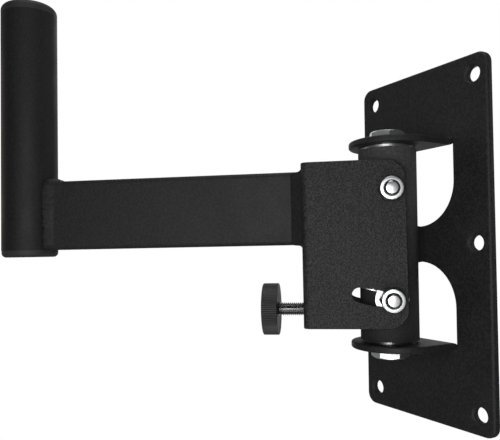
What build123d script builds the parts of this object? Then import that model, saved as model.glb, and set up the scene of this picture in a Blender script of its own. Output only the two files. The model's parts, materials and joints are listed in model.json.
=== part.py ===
from build123d import *
import os
from math import pi, radians, sqrt

# Wall bracket for a loudspeaker: a folded wall plate carries a swivelling post, a tilting bracket hangs on
# the post, and an arm from the bracket carries the pole on which the loudspeaker stands.
#
# The frame stands on the middle of the plate's back face. The wall is the plane Y = 0, the front faces -Y
# and +Z is up. The swivelling pieces are drawn about the swivel axis with the arm straight out along -Y,
# and are turned to REST_SWIVEL and REST_TILT as they are saved. Millimetres and degrees.

# Wall plate, pressed from one sheet
PLATE_WIDTH = 102.0
PLATE_HEIGHT = 214.2
PLATE_SHEET = 4.0
PLATE_CORNER = 7.0
PLATE_EDGE = 1.8
PLATE_BEND = 2.0
FIXING_HOLE = 8.5
FIXING_RIM = 2.2
FIXING_INSET_X = 10.0
FIXING_INSET_Z = 11.6
WINDOW_WIDTH = 53.0
WINDOW_BRIDGE = 21.8
EAR_SPAN = 115.0
EAR_KERF = 0.3
EAR_EDGE = 1.2
AXIS_FROM_WALL = 30.5

# Angles of the arm in the pose that is modelled
REST_SWIVEL = -38.5
REST_TILT = 0.55

# Swivel post with its end plugs
POST_DIAMETER = 34.0
POST_WALL = 3.0
PLUG_LENGTH = 16.0
THRUST_WASHER_DIAMETER = 31.0
THRUST_WASHER_SHEET = 1.5

# Swivel bolts, M12
SWIVEL_THREAD = 12.0
SWIVEL_LENGTH = 20.0
SWIVEL_FLATS = 19.0
SWIVEL_HEAD = 5.3
SWIVEL_POINT = 1.5
UPPER_BOLT_TURN = 4.1
LOWER_BOLT_TURN = 36.2

# Tilt bolts, M8 with locking nuts
TILT_THREAD = 8.0
TILT_FLATS = 13.0
TILT_HEAD = 5.3
TILT_POINT = 0.8
NUT_HEX = 5.2
NUT_HEIGHT = 8.0
NUT_COLLAR_DIAMETER = 12.8
NUT_LIP = 0.5
INSERT_RING = 0.75
BOLT_STICK_OUT = 1.2
NUT_TURN = 30.0
SPACER_DIAMETER = 18.5
SPACER_SHEET = 1.6

# Crown angle of the hexagons
HEAD_TAPER = 60.0

# Tilt bracket, folded to a U from one sheet
PIVOT_DROP = 27.0
SLOT_RISE = 26.0
SLOT_WIDTH = 8.4
SLOT_ANGLE = 17.5
BRACKET_SHEET = 3.0
BRACKET_BEND = 1.2
BRACKET_HEAD = 17.3
BRACKET_TAIL = 16.3
BRACKET_REACH = 50.5
BRACKET_REAR = 8.3
BRACKET_CORNER = 11.0
BRACKET_EDGE = 0.5

# Arm, a rectangular tube
ARM_WIDTH = 20.0
ARM_HEIGHT = 43.7
ARM_CORNER = 3.0
ARM_WALL = 2.0
ARM_DROP = 3.55
WELD_LEG = 2.6
WELD_TOE = 0.4

# Pole with its end caps
POLE_DIAMETER = 35.3
POLE_WALL = 2.0
POLE_REACH = 229.6
POLE_LENGTH = 154.8
POLE_OVERHANG = 0.0
CAP_HEIGHT = 6.2
CAP_EDGE = 3.8
CAP_SPIGOT = 12.0
FOOT_INSET = 0.2
FOOT_HEIGHT = 4.4
FOOT_EDGE = 3.0

# Thumb screw, M8, with its weld nut behind the web
SCREW_RISE = 9.65
SCREW_THREAD = 8.0
SCREW_POINT = 1.6
WELD_NUT_FLATS = 14.0
WELD_NUT_HEIGHT = 6.5
KNOB_DIAMETER = 31.3
KNOB_THICKNESS = 9.3
KNOB_STAND_OFF = 15.9
KNOB_EDGE = 0.3
KNOB_FLUTES = 90
KNOB_FLUTE_DEPTH = 0.35
KNOB_BACK = 2.0

# Clearances
RUN_GAP = 0.1
PIN_GAP = 0.08
BORE_GAP = 0.3
SEAT_GAP = 0.05
TIP_GAP = 0.3

# Wall plate, worked out
fixing_pitch_x = PLATE_WIDTH - 2 * FIXING_INSET_X
fixing_pitch_z = PLATE_HEIGHT / 2 - FIXING_INSET_Z
window_radius = WINDOW_WIDTH / 2
window_centre = WINDOW_BRIDGE / 2 + window_radius
ear_face = EAR_SPAN / 2
bend_outer = PLATE_BEND + PLATE_SHEET
fold_line = ear_face + bend_outer
bend_length = pi / 2 * (PLATE_BEND + PLATE_SHEET / 2)
ear_width = WINDOW_WIDTH - 2 * EAR_KERF
ear_straight = fold_line - window_centre - bend_length

# Post, bolts and bracket, worked out
post_radius = POST_DIAMETER / 2
post_length = EAR_SPAN - 2 * (THRUST_WASHER_SHEET + RUN_GAP)
pivot_height = ear_face - PIVOT_DROP
slot_height = SLOT_RISE - ear_face
slot_radius = pivot_height - slot_height
spacer_face = post_radius + SEAT_GAP
cheek_inner = spacer_face + SPACER_SHEET + RUN_GAP
cheek_outer = cheek_inner + BRACKET_SHEET
cheek_middle = cheek_inner + BRACKET_SHEET / 2
nut_face = cheek_outer + RUN_GAP
bracket_foot = slot_height - BRACKET_TAIL
bracket_top = pivot_height + BRACKET_HEAD
tilt_bolt_length = 2 * nut_face + NUT_HEIGHT + BOLT_STICK_OUT
web_inner = BRACKET_REACH - BRACKET_SHEET

# Arm, pole and thumb screw, worked out
arm_foot = bracket_top - ARM_DROP - ARM_HEIGHT
arm_middle = arm_foot + ARM_HEIGHT / 2
pole_foot_height = arm_foot - POLE_OVERHANG
pole_radius = POLE_DIAMETER / 2
pole_bore = pole_radius - POLE_WALL
weld_half = ARM_WIDTH / 2 + WELD_LEG
weld_root = sqrt(pole_radius**2 - weld_half**2)
knob_inner = BRACKET_REACH + KNOB_STAND_OFF
knob_outer = knob_inner + KNOB_THICKNESS
screw_height = bracket_foot + SCREW_RISE
screw_tip = post_radius + TIP_GAP + (pivot_height - screw_height) * radians(REST_TILT)
screw_radius = SCREW_THREAD / 2

wall = Location((0, 0, 0))
swung = Location((0, -AXIS_FROM_WALL, 0), (0, 0, REST_SWIVEL))
tilted = swung * Location((0, 0, pivot_height), (REST_TILT, 0, 0)) * Location((0, 0, -pivot_height))

os.makedirs("parts", exist_ok=True)


def save(piece, name, place):
    """Puts a finished piece in its place, labels it and writes its STEP file.

    Args:
        piece: The builder that holds the finished piece.
        name: The piece's name, also of its file.
        place: The location of the frame that it was drawn in.
    """
    piece.part.locate(place)
    piece.part.label = name
    export_step(piece.part, f"parts/{name}.step")


def washer(name, plane, outer, inner, sheet):
    """Makes a plain washer that lies on a plane, and saves it on the swivelling post.

    Args:
        name: The washer's name.
        plane: The plane that it lies on, with its normal through the washer.
        outer: The outer diameter.
        inner: The bore's diameter.
        sheet: The thickness.
    """
    with BuildPart() as ring:
        with BuildSketch(plane):
            Circle(outer / 2)
            Circle(inner / 2, mode=Mode.SUBTRACT)
        extrude(amount=sheet)
    save(ring, name, swung)


def hex_bolt(name, plane, thread, length, point, flats, head, turn):
    """Makes a hexagon bolt with a chamfered head and point, and saves it on the swivelling post.

    Args:
        name: The bolt's name.
        plane: The plane under the head, with its normal towards the head.
        thread: The thread's outer diameter.
        length: The length under the head.
        point: The chamfer at the thread's end.
        flats: The size across the flats.
        head: The head's height.
        turn: The angle that the head is turned by, in degrees.
    """
    head_plane = plane.rotated((0, 0, turn))
    with BuildPart() as bolt:
        with BuildSketch(head_plane):
            RegularPolygon(flats / 2, 6, major_radius=False)
        extrude(amount=head)
        with BuildSketch(plane.offset(head)):
            Circle(flats / 2)
        extrude(amount=-head, taper=-HEAD_TAPER, mode=Mode.INTERSECT)
        with BuildSketch(plane):
            Circle(thread / 2)
        extrude(amount=-length)
        tip = bolt.faces().filter_by(GeomType.PLANE).sort_by(Axis(plane.origin, plane.z_dir))[0]
        chamfer(tip.edges(), point)
    save(bolt, name, swung)


def locking_nut(name, plane):
    """Makes a locking nut and its nylon ring, and saves both on the swivelling post.

    Args:
        name: The nut's name, to which the ring's name adds a word.
        plane: The plane that the nut sits on, with its normal along the bolt.
    """
    bore = TILT_THREAD / 2 + SEAT_GAP
    ring = bore + INSERT_RING
    with BuildPart() as nut:
        with BuildSketch(plane.rotated((0, 0, NUT_TURN))):
            RegularPolygon(TILT_FLATS / 2, 6, major_radius=False)
        extrude(amount=NUT_HEX)
        with BuildSketch(plane.offset(NUT_HEX)):
            Circle(TILT_FLATS / 2)
        extrude(amount=-NUT_HEX, taper=-HEAD_TAPER, mode=Mode.INTERSECT)
        with BuildSketch(plane):
            Circle(NUT_COLLAR_DIAMETER / 2)
        extrude(amount=NUT_HEIGHT)
        rim = nut.faces().filter_by(GeomType.PLANE).sort_by(Axis(plane.origin, plane.z_dir))[-1]
        fillet(rim.edges(), NUT_LIP)
        with BuildSketch(plane):
            Circle(bore)
        extrude(amount=NUT_HEIGHT, mode=Mode.SUBTRACT)
        with BuildSketch(plane.offset(NUT_HEX)):
            Circle(ring)
        extrude(amount=NUT_HEIGHT, mode=Mode.SUBTRACT)
    save(nut, name, swung)
    with BuildPart() as insert:
        with BuildSketch(plane.offset(NUT_HEX)):
            Circle(ring)
            Circle(bore, mode=Mode.SUBTRACT)
        extrude(amount=NUT_HEIGHT - NUT_HEX - NUT_LIP)
    save(insert, f"{name}_insert", swung)


# Wall plate: outline, rolled front edge, fixing holes and the two windows
with BuildPart() as wall_plate:
    with BuildSketch(Plane.XZ):
        RectangleRounded(PLATE_WIDTH, PLATE_HEIGHT, PLATE_CORNER)
    extrude(amount=PLATE_SHEET)
    fillet(wall_plate.faces().sort_by(Axis.Y)[0].edges(), PLATE_EDGE)
    with BuildSketch(Plane.XZ):
        with GridLocations(fixing_pitch_x, fixing_pitch_z, 2, 3):
            Circle(FIXING_HOLE / 2)
    extrude(amount=PLATE_SHEET, mode=Mode.SUBTRACT)
    hole_edges = wall_plate.edges().filter_by(GeomType.CIRCLE)
    fillet(hole_edges.filter_by_position(Axis.Y, -PLATE_SHEET, -PLATE_SHEET), FIXING_RIM)
    for side in (1, -1):
        with BuildSketch(Plane.XZ):
            with Locations((0, side * window_centre)):
                Circle(window_radius)
            with Locations((0, side * (window_centre + fold_line) / 2)):
                Rectangle(WINDOW_WIDTH, fold_line - window_centre)
        extrude(amount=PLATE_SHEET, mode=Mode.SUBTRACT)
    # Each ear is the sheet of its window, folded forward, with its rim rolled over
    for side in (1, -1):
        ear_plane = Plane.XY.offset(side * ear_face)
        with BuildSketch(ear_plane):
            with Locations((0, -bend_outer - ear_straight / 2)):
                Rectangle(ear_width, ear_straight)
            with Locations((0, -bend_outer - ear_straight)):
                Circle(ear_width / 2)
        extrude(amount=side * PLATE_SHEET)
        ear_edges = wall_plate.edges(Select.LAST)
        fillet(ear_edges.filter_by(Axis.Z, reverse=True).filter_by(Axis.X, reverse=True), EAR_EDGE)
        with BuildSketch(Plane.XY.offset(side * fold_line)):
            with Locations((0, -PLATE_SHEET / 2)):
                RectangleRounded(ear_width, PLATE_SHEET, EAR_EDGE)
        revolve(axis=Axis((0, -bend_outer, side * fold_line), (-side, 0, 0)), revolution_arc=90)
        with BuildSketch(ear_plane):
            with Locations((0, -AXIS_FROM_WALL)):
                Circle(SWIVEL_THREAD / 2 + PIN_GAP)
        extrude(amount=side * PLATE_SHEET, mode=Mode.SUBTRACT)
save(wall_plate, "wall_plate", wall)

# Swivel post, a tube with two cross holes for the tilt bolts
with BuildPart() as swivel_post:
    Cylinder(post_radius, post_length)
    Cylinder(post_radius - POST_WALL, post_length, mode=Mode.SUBTRACT)
    with BuildSketch(Plane.YZ):
        with Locations((0, pivot_height), (0, slot_height)):
            Circle(TILT_THREAD / 2 + SEAT_GAP)
    extrude(amount=POST_DIAMETER, both=True, mode=Mode.SUBTRACT)
save(swivel_post, "swivel_post", swung)

# At each end of the post a threaded plug, a thrust washer and a bolt through the ear
for end, side, turn in (("upper", 1, UPPER_BOLT_TURN), ("lower", -1, LOWER_BOLT_TURN)):
    outward = Plane((0, 0, side * post_length / 2), x_dir=(1, 0, 0), z_dir=(0, 0, side))
    with BuildPart() as plug:
        with BuildSketch(outward):
            Circle(post_radius - POST_WALL)
            Circle(SWIVEL_THREAD / 2 + SEAT_GAP, mode=Mode.SUBTRACT)
        extrude(amount=-PLUG_LENGTH)
    save(plug, f"{end}_post_plug", swung)
    washer_bore = SWIVEL_THREAD + 2 * BORE_GAP
    washer(f"{end}_thrust_washer", outward, THRUST_WASHER_DIAMETER, washer_bore, THRUST_WASHER_SHEET)
    hex_bolt(
        f"{end}_swivel_bolt",
        outward.offset(THRUST_WASHER_SHEET + PLATE_SHEET + 2 * RUN_GAP),
        thread=SWIVEL_THREAD,
        length=SWIVEL_LENGTH,
        point=SWIVEL_POINT,
        flats=SWIVEL_FLATS,
        head=SWIVEL_HEAD,
        turn=side * turn,
    )

# Tilt bolts: the upper one is the pivot, the lower one runs in the slots
for use, height in (("pivot", pivot_height), ("slot", slot_height)):
    for hand, side in (("left", -1), ("right", 1)):
        seat = Plane((side * spacer_face, 0, height), x_dir=(0, 1, 0), z_dir=(side, 0, 0))
        washer(f"{use}_spacer_{hand}", seat, SPACER_DIAMETER, TILT_THREAD + 2 * BORE_GAP, SPACER_SHEET)
    hex_bolt(
        f"{use}_bolt",
        Plane((-nut_face, 0, height), x_dir=(0, 1, 0), z_dir=(-1, 0, 0)),
        thread=TILT_THREAD,
        length=tilt_bolt_length,
        point=TILT_POINT,
        flats=TILT_FLATS,
        head=TILT_HEAD,
        turn=NUT_TURN,
    )
    locking_nut(f"{use}_nut", Plane((nut_face, 0, height), x_dir=(0, 1, 0), z_dir=(1, 0, 0)))

# Tilt bracket: a U of sheet with a pivot bore and an arc slot in each cheek, and the screw's hole in the web
with BuildLine() as slot_path:
    CenterArc((0, pivot_height), slot_radius, -90 - SLOT_ANGLE, SLOT_ANGLE)
with BuildPart() as tilt_bracket:
    with BuildSketch(Plane.XY.offset(bracket_foot)):
        with BuildLine():
            web_middle = BRACKET_REACH - BRACKET_SHEET / 2
            FilletPolyline(
                (-cheek_middle, BRACKET_REAR),
                (-cheek_middle, -web_middle),
                (cheek_middle, -web_middle),
                (cheek_middle, BRACKET_REAR),
                radius=BRACKET_BEND + BRACKET_SHEET / 2,
            )
        trace(line_width=BRACKET_SHEET)
    extrude(amount=bracket_top - bracket_foot)
    rear_corners = tilt_bracket.edges().filter_by(Axis.X).group_by(Axis.Y)[-1]
    fillet(rear_corners, BRACKET_CORNER)
    rear_edges = tilt_bracket.edges().filter_by(Axis.Z).group_by(Axis.Y)[-1]
    fillet(rear_edges, BRACKET_EDGE)
    with BuildSketch(Plane.YZ):
        with Locations((0, pivot_height)):
            Circle(TILT_THREAD / 2 + PIN_GAP)
        SlotArc(slot_path.edge(), SLOT_WIDTH)
    extrude(amount=2 * cheek_outer, both=True, mode=Mode.SUBTRACT)
    with BuildSketch(Plane.XZ.offset(web_inner)):
        with Locations((0, screw_height)):
            Circle(screw_radius + BORE_GAP)
    extrude(amount=BRACKET_SHEET, mode=Mode.SUBTRACT)
save(tilt_bracket, "tilt_bracket", tilted)

# Arm: its far end is cut to the round of the pole
with BuildPart() as arm:
    with BuildSketch(Plane.XZ.offset(BRACKET_REACH)):
        with Locations((0, arm_middle)):
            RectangleRounded(ARM_WIDTH, ARM_HEIGHT, ARM_CORNER)
            bore_size = (ARM_WIDTH - 2 * ARM_WALL, ARM_HEIGHT - 2 * ARM_WALL)
            RectangleRounded(*bore_size, ARM_CORNER - ARM_WALL, mode=Mode.SUBTRACT)
    extrude(amount=POLE_REACH - BRACKET_REACH)
    with BuildSketch(Plane.XY.offset(arm_foot)):
        with Locations((0, -POLE_REACH)):
            Circle(pole_radius + SEAT_GAP)
    extrude(amount=ARM_HEIGHT, mode=Mode.SUBTRACT)
save(arm, "arm", tilted)


def weld_bead(name, root, toe):
    """Makes the bead of weld round one end of the arm, and saves it.

    Args:
        name: The bead's name.
        root: The distance from the swivel axis at which the bead is widest.
        toe: The distance from the swivel axis at which it runs out on the arm.
    """
    bead_height = ARM_HEIGHT + 2 * WELD_LEG
    with BuildPart() as bead:
        for reach, spread in ((root, WELD_LEG), (toe, WELD_TOE)):
            with BuildSketch(Plane.XZ.offset(reach)):
                with Locations((0, arm_middle)):
                    RectangleRounded(ARM_WIDTH + 2 * spread, ARM_HEIGHT + 2 * spread, ARM_CORNER + spread)
        loft()
        with BuildSketch(Plane.XZ.offset(root)):
            with Locations((0, arm_middle)):
                RectangleRounded(ARM_WIDTH + 2 * SEAT_GAP, ARM_HEIGHT + 2 * SEAT_GAP, ARM_CORNER + SEAT_GAP)
        extrude(amount=toe - root, mode=Mode.SUBTRACT)
        with BuildSketch(Plane.XY.offset(arm_foot - WELD_LEG)):
            with Locations((0, -POLE_REACH)):
                Circle(pole_radius + SEAT_GAP)
        extrude(amount=bead_height, mode=Mode.SUBTRACT)
    save(bead, name, tilted)


weld_bead("bracket_weld", BRACKET_REACH, BRACKET_REACH + WELD_LEG)
weld_bead("pole_weld", POLE_REACH - weld_root, POLE_REACH - pole_radius - WELD_LEG)

# Pole: a tube, a domed cap on top and a flat plug below
with BuildPart() as pole:
    with BuildSketch(Plane.XY.offset(pole_foot_height)):
        with Locations((0, -POLE_REACH)):
            Circle(pole_radius)
            Circle(pole_bore, mode=Mode.SUBTRACT)
    extrude(amount=POLE_LENGTH)
save(pole, "pole", tilted)


def end_cap(name, plane, radius, height, edge):
    """Makes a cap with a rounded edge and a spigot in the pole's bore, and saves it.

    Args:
        name: The cap's name.
        plane: The plane of the pole's end, with its normal outwards.
        radius: The cap's outer radius.
        height: How far it stands out of the pole.
        edge: The radius of its rounded edge.
    """
    with BuildPart() as cap:
        with BuildSketch(plane):
            Circle(radius)
        extrude(amount=height)
        fillet(cap.faces().sort_by(Axis(plane.origin, plane.z_dir))[-1].edges(), edge)
        with BuildSketch(plane):
            Circle(pole_bore - SEAT_GAP)
        extrude(amount=-CAP_SPIGOT)
    save(cap, name, tilted)


pole_top = (0, -POLE_REACH, pole_foot_height + POLE_LENGTH)
pole_end = (0, -POLE_REACH, pole_foot_height)
end_cap("pole_cap", Plane(pole_top, z_dir=(0, 0, 1)), pole_radius, CAP_HEIGHT, CAP_EDGE)
end_cap("pole_foot", Plane(pole_end, z_dir=(0, 0, -1)), pole_radius - FOOT_INSET, FOOT_HEIGHT, FOOT_EDGE)

# Thumb screw: the stud runs in a nut welded behind the web, and bears on the post
screw_line = Plane((0, 0, screw_height), x_dir=(1, 0, 0), z_dir=(0, -1, 0))
with BuildPart() as weld_nut:
    with BuildSketch(screw_line.offset(web_inner)):
        RegularPolygon(WELD_NUT_FLATS / 2, 6, major_radius=False)
        Circle(screw_radius + PIN_GAP, mode=Mode.SUBTRACT)
    extrude(amount=-WELD_NUT_HEIGHT)
save(weld_nut, "weld_nut", tilted)

with BuildPart() as thumb_stud:
    with BuildSketch(screw_line.offset(screw_tip)):
        Circle(screw_radius)
    extrude(amount=knob_outer - KNOB_BACK - screw_tip)
    fillet(thumb_stud.faces().sort_by(Axis.Y)[-1].edges(), SCREW_POINT)
save(thumb_stud, "thumb_stud", tilted)

with BuildPart() as thumb_knob:
    with BuildSketch(screw_line.offset(knob_inner)):
        Circle(KNOB_DIAMETER / 2)
    extrude(amount=KNOB_THICKNESS)
    chamfer(thumb_knob.edges(), KNOB_EDGE)
    with BuildSketch(screw_line.offset(knob_inner)):
        with PolarLocations(KNOB_DIAMETER / 2, KNOB_FLUTES):
            RegularPolygon(KNOB_FLUTE_DEPTH, 4)
    extrude(amount=KNOB_THICKNESS, mode=Mode.SUBTRACT)
    with BuildSketch(screw_line.offset(knob_inner)):
        Circle(screw_radius + SEAT_GAP)
    extrude(amount=KNOB_THICKNESS - KNOB_BACK + SEAT_GAP, mode=Mode.SUBTRACT)
save(thumb_knob, "thumb_knob", tilted)
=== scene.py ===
"""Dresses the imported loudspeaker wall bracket: finishes, fine pieces, studio and camera."""
import json
import logging
from collections.abc import Callable, Iterable, Sequence
from dataclasses import dataclass, field
from enum import Enum
from functools import cache
from math import cos, pi, radians, sin, sqrt, tan
from random import Random
from typing import ClassVar

import bpy
from mathutils import Matrix, Vector


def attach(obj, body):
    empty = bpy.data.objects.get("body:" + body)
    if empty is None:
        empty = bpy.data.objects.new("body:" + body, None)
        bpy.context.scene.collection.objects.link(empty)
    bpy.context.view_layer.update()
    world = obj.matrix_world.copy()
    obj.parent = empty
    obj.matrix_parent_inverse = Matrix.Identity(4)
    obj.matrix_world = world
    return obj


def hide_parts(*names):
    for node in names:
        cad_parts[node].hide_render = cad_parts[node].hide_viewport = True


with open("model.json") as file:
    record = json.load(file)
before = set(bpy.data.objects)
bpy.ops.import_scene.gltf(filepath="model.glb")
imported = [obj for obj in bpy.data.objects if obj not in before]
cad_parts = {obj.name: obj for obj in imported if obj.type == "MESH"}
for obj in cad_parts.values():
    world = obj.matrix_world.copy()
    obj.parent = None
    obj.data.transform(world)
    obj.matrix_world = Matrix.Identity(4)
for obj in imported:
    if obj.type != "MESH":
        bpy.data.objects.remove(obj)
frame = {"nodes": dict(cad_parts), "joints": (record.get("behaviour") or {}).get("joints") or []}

logging.basicConfig(level=logging.INFO, format="%(levelname)s %(message)s")
log = logging.getLogger("speaker_bracket")

MM = 0.001
Triple = tuple[float, float, float]
Colour = tuple[float, float, float, float]
Piece = bpy.types.Object
Material = bpy.types.Material
Socket = bpy.types.NodeSocket


def grey(level: float) -> Colour:
    """Gives a linear grey."""
    return (level, level, level, 1.0)


class Slot(Enum):
    """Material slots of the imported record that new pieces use."""

    COAT = "powder_coat"
    ZINC = "zinc_steel"


class Body(Enum):
    """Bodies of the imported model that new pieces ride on."""

    PLATE = "wall_plate"
    POST = "swivel_post"
    BRACKET = "tilt_bracket"
    STUD = "thumb_stud"


@dataclass(frozen=True)
class ArmAxes:
    """Axes of the arm as it stands at rest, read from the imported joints.

    Attributes:
        pivot: Point of the tilt axis on the swivel axis.
        screw: Point on the thumb screw's line.
        side: Direction across the arm, towards the tilt bolts' nuts.
        out: Direction from the post along the arm.
    """

    pivot: Vector
    screw: Vector
    side: Vector
    out: Vector

    @classmethod
    def from_joints(cls, joints: Sequence[dict]) -> "ArmAxes":
        """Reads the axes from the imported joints.

        Args:
            joints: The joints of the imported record.

        Returns:
            The axes at rest.
        """
        named = {joint["name"]: joint for joint in joints}
        return cls(
            pivot=Vector(named["tilt"]["pos_m"]),
            screw=Vector(named["knob_turn"]["pos_m"]),
            side=Vector(named["tilt"]["axis"]).normalized(),
            out=Vector(named["screw_travel"]["axis"]).normalized(),
        )

    @property
    def up(self) -> Vector:
        """Direction up the bracket, square to the arm."""
        return self.out.cross(self.side)

    def point(self, side: float, out: float, up: float) -> Vector:
        """Gives the point at three distances in millimetres from the pivot, along the arm's own axes."""
        return self.pivot + (self.side * side + self.out * out + self.up * up) * MM


@dataclass(frozen=True)
class NodeRuler:
    """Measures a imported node, so that a new piece takes its sizes from the solid.

    Attributes:
        node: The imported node's name.
        place: Point that distances are measured from.
    """

    node: str
    place: Vector

    def offsets(self) -> list[Vector]:
        """Gives the node's vertices from the point that is measured from, in metres."""
        return [vertex.co - self.place for vertex in frame["nodes"][self.node].data.vertices]

    def span(self, axis: Vector) -> tuple[float, float]:
        """Gives the node's lowest and highest distance along an axis, in millimetres."""
        along = [offset.dot(axis) / MM for offset in self.offsets()]
        return min(along), max(along)

    def stand(self, axis: Vector, along: float) -> Matrix:
        """Gives the frame of a piece on the node's axis, with its Y towards the node's outermost corner.

        Args:
            axis: The direction of the piece's Z.
            along: Where its origin lies along the axis, in millimetres.

        Returns:
            The matrix of the piece's place.
        """
        across = [offset - axis * offset.dot(axis) for offset in self.offsets()]
        corner = max(across, key=lambda offset: offset.length).normalized()
        turn = Matrix((corner.cross(axis), corner, axis)).transposed().to_4x4()
        return Matrix.Translation(self.place + axis * along * MM) @ turn


@dataclass(frozen=True)
class Drop:
    """One drop in a bead of weld.

    Attributes:
        middle: Its middle on the seam, in metres.
        outward: Direction out of the seam.
        width: Half its width across the seam, in millimetres.
        height: Height of its crown over the seam.
    """

    middle: Vector
    outward: Vector
    width: float
    height: float


class Bench:
    """Modelling steps of the new pieces, each made with Blender's own operators."""

    # Points nearer than this are one, in metres
    MERGE = 1e-6
    # Largest angles between faces that are shaded smooth, in degrees
    CRISP = 25.0
    MELTED = 180.0
    # A thread's depth, the ends of its root, rise and crest, and the turns that are cut off, in pitches
    THREAD_DEPTH = 0.6134
    THREAD_ENDS = (0.14, 0.46, 0.6)
    SPARE_TURNS = 3
    # A hexagon's crown: shares of the corners' and the flats' radii, slope, and the blank's spare length
    CROWN_OUTER = 1.02
    CROWN_INNER = 0.97
    CROWN_SLOPE = 30
    SPARE_LENGTH = 2
    # A drop of weld: shares of its size, its wander to both sides and half its length
    DROP_SIZES = (0.85, 1.15)
    DROP_WANDER = 0.8
    DROP_LENGTH = 2.4
    # The mesh size of a weld's skin, and the rounding of a fillet's edges
    WELD_GRID = 0.35
    EDGE_ROUND = 1.6
    EDGE_STEPS = 5

    @staticmethod
    def clear() -> None:
        """Leaves edit mode and deselects everything, so that an operator acts on one piece alone."""
        if bpy.context.object and bpy.context.object.mode != "OBJECT":
            bpy.ops.object.mode_set(mode="OBJECT")
        bpy.ops.object.select_all(action="DESELECT")

    @staticmethod
    def activate(piece: Piece) -> None:
        """Makes a piece the only selected and active one.

        Args:
            piece: The piece.
        """
        Bench.clear()
        piece.select_set(True)
        bpy.context.view_layer.objects.active = piece

    @staticmethod
    def take(name: str) -> Piece:
        """Names the piece that an operator has just made, and its mesh.

        Args:
            name: The name.

        Returns:
            The piece.
        """
        piece = bpy.context.object
        piece.name = name
        piece.data.name = name
        return piece

    @staticmethod
    def add(name: str, operator: Callable, **settings: object) -> Piece:
        """Adds a plain mesh.

        Args:
            name: The piece's name.
            operator: Blender's operator that adds it.
            **settings: The operator's settings.

        Returns:
            The piece.
        """
        Bench.clear()
        operator(**settings)
        return Bench.take(name)

    @staticmethod
    def close() -> None:
        """Turns all faces of the edited mesh outward and leaves edit mode."""
        bpy.ops.mesh.select_all(action="SELECT")
        bpy.ops.mesh.normals_make_consistent(inside=False)
        bpy.ops.object.mode_set(mode="OBJECT")

    @staticmethod
    def chain(name: str, points: Sequence[tuple[float, float]]) -> Piece:
        """Draws an open profile in the XZ plane by extruding one point on to the next.

        Args:
            name: The piece's name.
            points: Radius and height of each point, in millimetres.

        Returns:
            The piece that holds the profile, in edit mode with all of it selected.
        """
        piece = Bench.add(name, bpy.ops.mesh.primitive_plane_add, size=MM)
        bpy.ops.object.mode_set(mode="EDIT")
        bpy.ops.mesh.select_all(action="SELECT")
        bpy.ops.mesh.merge(type="CENTER")
        start = Vector((points[0][0] * MM, 0, points[0][1] * MM))
        bpy.ops.transform.translate(value=start)
        for before, after in zip(points, points[1:]):
            step = Vector((after[0] - before[0], 0, after[1] - before[1])) * MM
            bpy.ops.mesh.extrude_vertices_move(TRANSFORM_OT_translate={"value": step})
        bpy.ops.mesh.select_all(action="SELECT")
        return piece

    @staticmethod
    def lathe(name: str, points: Sequence[tuple[float, float]], steps: int = 64) -> Piece:
        """Spins a profile round Z to a closed, smooth piece.

        Args:
            name: The piece's name.
            points: Radius and height of each point, in millimetres.
            steps: Number of segments round the axis.

        Returns:
            The finished piece.
        """
        piece = Bench.chain(name, points)
        bpy.ops.mesh.spin(steps=steps, angle=2 * pi, center=(0, 0, 0), axis=(0, 0, 1))
        bpy.ops.mesh.select_all(action="SELECT")
        bpy.ops.mesh.remove_doubles(threshold=Bench.MERGE)
        Bench.close()
        return piece

    @staticmethod
    def join(name: str, pieces: Iterable[Piece]) -> Piece:
        """Joins several pieces into one.

        Args:
            name: The joined piece's name.
            pieces: The pieces.

        Returns:
            The joined piece.
        """
        pieces = list(pieces)
        Bench.clear()
        for piece in pieces:
            piece.select_set(True)
        bpy.context.view_layer.objects.active = pieces[0]
        bpy.ops.object.join()
        return Bench.take(name)

    @staticmethod
    def apply(piece: Piece) -> None:
        """Applies all of a piece's modifiers in order."""
        Bench.activate(piece)
        for modifier in list(piece.modifiers):
            bpy.ops.object.modifier_apply(modifier=modifier.name)

    @staticmethod
    def settle(piece: Piece, place: Matrix, smooth_below: float = 35.0) -> Piece:
        """Moves a piece's mesh to its place, leaves its object at the origin and smooths its shading.

        Args:
            piece: The piece, drawn about its own origin.
            place: The matrix of its place in the row frame.
            smooth_below: Largest angle between faces that is shaded smooth, in degrees.

        Returns:
            The same piece.
        """
        Bench.activate(piece)
        piece.matrix_world = place @ piece.matrix_world
        bpy.ops.object.transform_apply()
        bpy.ops.object.shade_smooth_by_angle(angle=radians(smooth_below))
        return piece

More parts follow.
